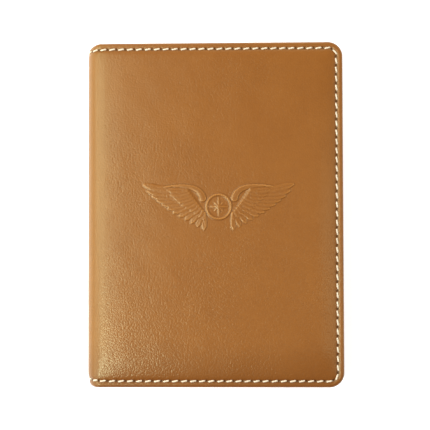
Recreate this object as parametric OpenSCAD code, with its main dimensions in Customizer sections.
// Leather passport case with blind-embossed wings: two padded covers folded round a soft spine.
// The closed case lies on its back cover: +X runs from the spine to the fore-edge, +Y along the
// spine, +Z up through the front cover. Each cover is built in its own cover frame, where u = 0 is
// the outermost face and u grows inwards; the front cover is the mirror image of that frame.

/* [Case] */
// Closed width, from the spine to the fore-edge
case_w = 104; // [102:1:110]
// Height, along the spine
case_h = 140; // [136:1:150]
// Closed thickness over both padded covers
case_t = 16; // [15.4:0.2:16.4]
// Outer radius of the soft fold on each side of the spine
fold_r = 5.5; // [5:0.1:5.5]
// Corner radius of the covers at the fore-edge
corner_r = 6; // [4:0.5:9]
// How much shorter the spine is than the covers, at its head and at its tail
head_drop = 3; // [1:0.5:4]
// How far from the spine that drop starts
head_reach = 6.5; // [5:0.5:8]

/* [Cover layers] */
// Outer leather
leather_t = 1.1; // [0.9:0.1:1.2]
// How far the padding lifts the leather above the stitched margin
crown = 1.2; // [0.9:0.1:1.3]
// Width of the slope between the margin and the top of the padding
crown_run = 7; // [4:0.5:9]
// Stiffener board
board_t = 1.2; // [1:0.1:1.4]
// Stiffener board where it is skived under the turned hem
board_edge_t = 0.5; // [0.4:0.1:0.6]
// Width of the leather that is turned in round the board
hem_w = 6; // [5:0.5:7]
// Leather left outside the board's edge
edge_wall = 1.1; // [0.8:0.1:1.4]
// Cloth lining
lining_t = 0.4; // [0.3:0.1:0.5]
// Pocket leather
pocket_t = 0.6; // [0.4:0.1:0.6]

/* [Pockets] */
// Width of the passport sleeve
sleeve_w = 62; // [50:1:70]
// Radius of the thumb notch in the sleeve's mouth
notch_r = 12; // [10:1:16]
// Depth of the thumb notch
notch_depth = 7; // [5:0.5:8]
// Height of the lowest card pocket's mouth above the case's tail
first_mouth = 49; // [46:1:52]
// Step from one card pocket's mouth to the next
mouth_step = 15; // [12:1:17]
// Depth of the two upper card pockets
pocket_depth = 46; // [45:1:48]

/* [Seams] */
// Distance of the edge seam from the edge
seam_inset = 2.5; // [2:0.1:3]
// Distance from one stitch to the next
stitch_pitch = 3.65; // [3:0.05:4]
// Length of one stitch
stitch_l = 2.55; // [2:0.05:2.8]
// Width of the thread
thread_w = 0.75; // [0.5:0.05:0.9]
// Height that the thread stands above the leather
thread_h = 0.25; // [0.15:0.05:0.3]
// Slant of each stitch across its seam, in degrees
slant = 9; // [0:1:15]

/* [Emblem] */
// Span of the embossed wings
emblem_span = 60; // [40:1:64]
// Centre of the emblem towards the fore-edge from the middle of the cover
emblem_x = 1.5; // [-10:0.5:10]
// Centre of the emblem above the middle of the cover
emblem_y = 3; // [-20:1:20]
// Depth of the embossed lines
emblem_depth = 0.15; // [0.1:0.05:0.3]
// Width of the embossed lines
line_w = 0.3; // [0.2:0.05:0.4]
// Long feathers in each wing
long_feathers = 12; // [8:1:14]
// Short feathers in each wing
short_feathers = 8; // [5:1:10]

/* [Hidden] */
$fn = 64;

half_w = case_w / 2;
half_h = case_h / 2;

// Faces of one cover's layers, from the outermost face inwards
u_board = crown + leather_t;
u_hem = u_board + board_edge_t;
u_lining = u_board + board_t;
u_pocket = u_lining + lining_t;
u_card = u_pocket + pocket_t;
hem_t = board_t - board_edge_t;

// Centre of the fold in the cover frame, and the board's edge beside it
fold_x = -half_w + fold_r;
fold_u = crown + fold_r;
board_x = fold_x + 1.5;
// The cover's leather and the spine's part here, at the middle of the fold
split_angle = 45;
split_gap_angle = 1;
lining_r = fold_r - leather_t - hem_t;

// The head and tail of the spine are arcs of this radius
head_r = (head_reach * head_reach + head_drop * head_drop) / (2 * head_drop);

crown_inset = seam_inset + 1.3;
crown_x = fold_x + 0.5;
panel_inset = 1;
sleeve_x = half_w - panel_inset - sleeve_w;
notch_half_w = sqrt(notch_depth * (2 * notch_r - notch_depth));
slip_x = board_x + 1;
card_x = board_x + 3;
card_names = ["top", "middle", "bottom"];
function card_mouth(i) = -half_h + first_mouth + (2 - i) * mouth_step;
function card_face(i) = u_card + (i + 1) * pocket_t;

// The edge seam: stitches stand at whole pitches from the middle of the spine
seam_y = half_h - seam_inset;
seam_r = corner_r - seam_inset;
spine_half_l = case_t / 2 - fold_u + fold_r * PI / 2;
seam_x = fold_x + 3 * stitch_pitch - spine_half_l;
row_l = half_w - corner_r - seam_x;
arc_l = seam_r * PI / 2;
seam_l = 2 * (row_l + arc_l) + case_h - 2 * corner_r;
seam_stitches = round(seam_l / stitch_pitch);
// Angles of the stitches on the fold, from straight down towards the spine
cover_fold_stitch = (spine_half_l - 2 * stitch_pitch) / fold_r * 180 / PI;
spine_fold_stitch = (spine_half_l - stitch_pitch) / fold_r * 180 / PI;

medallion_r = 5.6;
star_points = 8;

// ---- Shared shapes ----

// A flat layer of the cover, from u0 to u1
module layer(u0, u1) {
    translate([0, 0, u0]) linear_extrude(u1 - u0) children();
}

// A shape drawn in x and u, run along the whole height of the case
module along_spine(h = case_h) {
    rotate([90, 0, 0]) linear_extrude(h, center = true) children();
}

// Puts a cover-frame shape on the front cover
module on_front() {
    translate([0, 0, case_t]) mirror([0, 0, 1]) children();
}

module on_both() {
    children();
    on_front() children();
}

// Rectangle from x0 to x1 and h high, with corner radius r0 at x0 and r1 at x1
module rounded_rect(x0, x1, h, r0, r1) {
    translate([x0 + r0, -h / 2]) square([x1 - x0 - r0 - r1, h]);
    translate([x0, r0 - h / 2]) square([x1 - x0 - r1, h - 2 * r0]);
    translate([x0 + r0, r1 - h / 2]) square([x1 - x0 - r0, h - 2 * r1]);
    for (side = [-1, 1]) {
        translate([x0 + r0, side * (h / 2 - r0)]) circle(r0);
        translate([x1 - r1, side * (h / 2 - r1)]) circle(r1);
    }
}

// Outline of a panel whose spine side is at x0, set in from the case's other three edges
module panel(x0, inset) {
    rounded_rect(x0, half_w - inset, case_h - 2 * inset, 0.5, max(corner_r - inset, 1));
}

// The closed case from above: square at the fore-edge, dropping away at the spine's ends
module case_outline(inset = 0) {
    intersection() {
        rounded_rect(-half_w + head_reach - head_r, half_w - inset, case_h - 2 * inset,
            head_r, corner_r - inset);
        translate([-half_w, -half_h]) square([case_w, case_h]);
    }
}

module cut_to_case(inset = 0) {
    intersection() {
        children();
        layer(-1, case_t + 1) case_outline(inset);
    }
}

// Part of a tube round the fold's centre, between two angles from straight down
function fold_dir(a) = [-sin(a), -cos(a)];
module fold_sector(r, thick, a0, a1) {
    far = 2 * fold_r;
    translate([fold_x, fold_u]) intersection() {
        difference() {
            circle(r);
            circle(r - thick);
        }
        polygon([[0, 0], far * fold_dir(a0), far * fold_dir((a0 + a1) / 2), far * fold_dir(a1)]);
    }
}

module cover_fold(r, thick) {
    fold_sector(r, thick, 0, split_angle - split_gap_angle);
}

// Both halves of the spine's own profile: the upper part of each fold, and the wall between them
module spine_profile(r, thick) {
    for (side = [0, 1])
        translate([0, side * case_t]) mirror([0, side])
            fold_sector(r, thick, split_angle + split_gap_angle, 90);
    translate([fold_x - r, fold_u]) square([thick, case_t - 2 * fold_u]);
}

// Keeps what lies within the turned hem at the head and tail
module hem_ends() {
    intersection() {
        children();
        for (side = [-1, 1])
            translate([-half_w, side * (half_h - hem_w / 2) - hem_w / 2, -1])
                cube([case_w, hem_w, case_t + 2]);
    }
}

// ---- Layers of a cover, in the cover frame ----

// Low flat-topped mound that the padding makes inside the seam; its top is cut flat at u = 0
module crown_mound() {
    intersection() {
        hull() {
            layer(crown - 0.1, crown) panel(crown_x, crown_inset, $fn = 32);
            layer(-0.1, 0) panel(crown_x + crown_run, crown_inset + crown_run, $fn = 32);
        }
        layer(0, crown) translate([-half_w, -half_h]) square([case_w, case_h]);
    }
}

module cover_leather() {
    cut_to_case() difference() {
        union() {
            layer(crown, u_lining) panel(board_x, 0);
            layer(crown, u_board) translate([fold_x, -half_h]) square([3, case_h]);
            hem_ends() layer(crown, u_board + hem_t)
                translate([fold_x, -half_h]) square([3, case_h]);
            crown_mound();
            along_spine() cover_fold(fold_r, leather_t);
            hem_ends() along_spine() cover_fold(fold_r, leather_t + hem_t);
        }
        layer(u_board, u_hem) panel(board_x, edge_wall);
        layer(u_hem, u_lining + 1) panel(board_x, hem_w);
        translate([0, 0, leather_t]) crown_mound();
    }
}

module cover_foam() {
    translate([0, 0, leather_t]) crown_mound();
}

module cover_board() {
    layer(u_board, u_hem) panel(board_x, edge_wall);
    layer(u_board, u_lining) panel(board_x, hem_w);
}

// Lining over the board and hem, stepping down to the spine
module cover_lining() {
    cut_to_case(panel_inset) {
        layer(u_lining, u_pocket) panel(board_x, panel_inset);
        along_spine() {
            polygon([
                [fold_x, fold_u - lining_r], [board_x, u_lining], [board_x + 1, u_lining],
                [board_x + 1, u_pocket], [board_x, u_pocket], [fold_x, fold_u - lining_r + lining_t]
            ]);
            cover_fold(lining_r, lining_t);
        }
    }
}

// ---- Seams ----

// One stitch lying on the plane z = 0
module stitch(length = stitch_l) {
    translate([0, 0, thread_h / 2]) cube([length, thread_w, thread_h], center = true);
}

// Place and direction [x, y, angle] at distance s along the edge seam, from the tail to the head
function seam_at(s) =
    s > seam_l / 2 ? let (p = seam_at(seam_l - s)) [p[0], -p[1], 180 - p[2]]
    : s < row_l ? [seam_x + s, -seam_y, 0]
    : s < row_l + arc_l ?
        let (a = (s - row_l) / seam_r * 180 / PI)
        [half_w - corner_r + seam_r * sin(a), -half_h + corner_r - seam_r * cos(a), a]
    : [half_w - seam_inset, s - row_l - arc_l - half_h + corner_r, 90];

function covers(edge, x) = x > edge - stitch_l / 2;

// Top face under the seam, inside the back cover
function back_face(x) = covers(sleeve_x, x) ? u_card : u_pocket;

// Number of card pockets that lie under a point inside the front cover
function pockets_at(x, y) = !covers(card_x, x) ? 0
    : len([for (i = [0:2]) if (y - stitch_l / 2 < card_mouth(i)) i]);
function front_face(x, y) = covers(slip_x, x) ? u_card + pockets_at(x, y) * pocket_t : u_pocket;

// Stitches on the outer face of a cover; turn is 1 on the front and -1 on the back
module needle_thread(turn) {
    for (i = [0:seam_stitches]) {
        p = seam_at(seam_l * i / seam_stitches);
        translate([p[0], p[1], crown - thread_h]) rotate(p[2] + turn * slant) stitch();
    }
    fold_stitches(fold_r + thread_h, cover_fold_stitch, stitch_l);
}

// A stitch at the head and one at the tail, at an angle round the fold
module fold_stitches(r, a, length) {
    drop_x = fold_x - r * sin(a) + half_w;
    drop = head_r - sqrt(head_r * head_r - pow(max(head_reach - drop_x, 0), 2));
    for (side = [-1, 1])
        translate([fold_x, side * (seam_y - drop), fold_u])
            rotate([0, a, 0]) translate([0, 0, -r]) stitch(length);
}

spine_needle_drop = head_drop + 0.5;
bobbin_l = 1.6;
bobbin_wall = lining_r - lining_t;
// Round the fold, a straight stitch touches the lining at its two ends
bobbin_r = sqrt(bobbin_wall * bobbin_wall - bobbin_l * bobbin_l / 4);

module on_spine_wall(x, length, drop) {
    for (side = [-1, 1])
        translate([x, side * (seam_y - drop), case_t / 2]) rotate([0, 90, 0]) stitch(length);
}

// ---- Emblem, drawn round its own centre ----

function bezier(a, b, c, t) = (1 - t) * (1 - t) * a + 2 * t * (1 - t) * b + t * t * c;
emblem_scale = emblem_span / 60;
function feather_tip(t) = [30 - 24 * pow(t, 1.15), 9.3 - 18.5 * pow(t, 0.8)];
function feather_root(t) = [11.5 - 6 * t, 6.5 - 9 * t];
function feather_bend(t) = (feather_tip(t) + feather_root(t)) / 2 + [0, -3 * (1 - t)];

// Line of constant width along a curve
module curve_line(a, b, c) {
    steps = 10;
    points = [for (i = [0:steps]) bezier(a, b, c, i / steps)];
    normals = [for (i = [0:steps])
        let (d = points[min(i + 1, steps)] - points[max(i - 1, 0)]) [-d[1], d[0]] / norm(d)];
    polygon(concat(
        [for (i = [0:steps]) points[i] + normals[i] * line_w / 2],
        [for (i = [steps:-1:0]) points[i] - normals[i] * line_w / 2]
    ));
}

module wing_lines() {
    for (i = [0:long_feathers - 1]) {
        t = i / (long_feathers - 1);
        start = bezier(feather_root(t), feather_bend(t), feather_tip(t), 0.56);
        curve_line(start, (start + feather_tip(t)) / 2 + [0, -0.9 * (1 - t)], feather_tip(t));
    }
    for (i = [0:short_feathers - 1]) {
        t = i / (short_feathers - 1);
        end = bezier(feather_root(t), feather_bend(t), feather_tip(t), 0.5);
        curve_line(feather_root(t), (feather_root(t) + end) / 2 + [0, -1 + t], end);
    }
    curve_line([8, 4.2], [9, 9.8], [22, 9.4]);
}

module emblem() {
    difference() {
        circle(medallion_r);
        circle(medallion_r - line_w);
    }
    polygon([for (i = [0:2 * star_points - 1])
        let (r = i % 2 == 1 ? 1.3 : i % 4 == 0 ? 4.2 : 2.8, a = 180 * i / star_points)
        r * [sin(a), cos(a)]]);
    for (side = [0, 1]) mirror([side, 0]) wing_lines();
}

// ---- Back cover ----

module back_leather() {
    color("peru") cover_leather();
}

module back_foam() {
    color("ivory") cover_foam();
}

module back_board() {
    color("burlywood") cover_board();
}

module back_lining() {
    color("saddlebrown") cover_lining();
}

module passport_sleeve() {
    color("chocolate") layer(u_pocket, u_card) difference() {
        panel(sleeve_x, panel_inset);
        translate([sleeve_x - notch_r + notch_depth, 0]) circle(notch_r);
    }
}

// Two rows beside the sleeve's mouth, one on each side of its thumb notch
module sleeve_mouth_thread() {
    first = notch_half_w + 2;
    last = seam_y - 3;
    steps = floor((last - first) / stitch_pitch);
    color("cornsilk") for (side = [-1, 1], i = [0:steps])
        translate([sleeve_x + 2, side * (first + i * stitch_pitch), u_card]) rotate(90) stitch();
}

module back_needle_thread() {
    color("cornsilk") needle_thread(-1);
}

module back_bobbin_thread() {
    color("cornsilk") {
        for (i = [0:seam_stitches]) {
            p = seam_at(seam_l * i / seam_stitches);
            translate([p[0], p[1], back_face(p[0])]) rotate(p[2]) stitch();
        }
        fold_stitches(bobbin_r, cover_fold_stitch, bobbin_l);
    }
}

// ---- Spine ----

module spine_leather() {
    color("peru") cut_to_case() {
        along_spine() spine_profile(fold_r, leather_t);
        hem_ends() along_spine() spine_profile(fold_r, leather_t + hem_t);
    }
}

module spine_lining() {
    color("saddlebrown") cut_to_case(panel_inset) along_spine() spine_profile(lining_r, lining_t);
}

module spine_needle_thread() {
    color("cornsilk") {
        on_both() fold_stitches(fold_r + thread_h, spine_fold_stitch, stitch_l);
        on_spine_wall(-half_w - thread_h, stitch_l, spine_needle_drop);
    }
}

module spine_bobbin_thread() {
    color("cornsilk") {
        on_both() fold_stitches(bobbin_r, spine_fold_stitch, bobbin_l);
        on_spine_wall(fold_x - bobbin_wall, bobbin_l, spine_needle_drop);
    }
}

// ---- Front cover ----

module front_leather() {
    color("peru") difference() {
        on_front() cover_leather();
        translate([emblem_x, emblem_y, case_t - emblem_depth]) scale(emblem_scale)
            linear_extrude(1) emblem();
    }
}

module front_foam() {
    color("ivory") on_front() cover_foam();
}

module front_board() {
    color("burlywood") on_front() cover_board();
}

module front_lining() {
    color("saddlebrown") on_front() cover_lining();
}

module slip_pocket() {
    color("chocolate") on_front() layer(u_pocket, u_card) panel(slip_x, panel_inset);
}

// Card pocket i, counted down from the top one
module card_pocket(i) {
    mouth = card_mouth(i);
    foot = i == 2 ? -half_h : mouth - pocket_depth;
    color("chocolate") on_front() layer(card_face(i) - pocket_t, card_face(i)) intersection() {
        panel(card_x, panel_inset);
        translate([-half_w, foot]) square([case_w, mouth - foot]);
    }
}

module card_pocket_thread() {
    steps = floor((card_mouth(0) - 2 + seam_y) / stitch_pitch);
    x = card_x + 2;
    color("cornsilk") on_front() for (i = [1:steps]) {
        y = -seam_y + i * stitch_pitch;
        translate([x, y, front_face(x, y)]) rotate(90) stitch();
    }
}

module front_needle_thread() {
    color("cornsilk") on_front() needle_thread(1);
}

module front_bobbin_thread() {
    color("cornsilk") on_front() {
        for (i = [0:seam_stitches]) {
            p = seam_at(seam_l * i / seam_stitches);
            translate([p[0], p[1], front_face(p[0], p[1])]) rotate(p[2]) stitch();
        }
        fold_stitches(bobbin_r, cover_fold_stitch, bobbin_l);
    }
}

back_leather();
back_foam();
back_board();
back_lining();
passport_sleeve();
sleeve_mouth_thread();
back_needle_thread();
back_bobbin_thread();
spine_leather();
spine_lining();
spine_needle_thread();
spine_bobbin_thread();
front_leather();
front_foam();
front_board();
front_lining();
slip_pocket();
card_pocket(0);  // card_pocket_top
card_pocket(1);  // card_pocket_middle
card_pocket(2);  // card_pocket_bottom
card_pocket_thread();
front_needle_thread();
front_bobbin_thread();
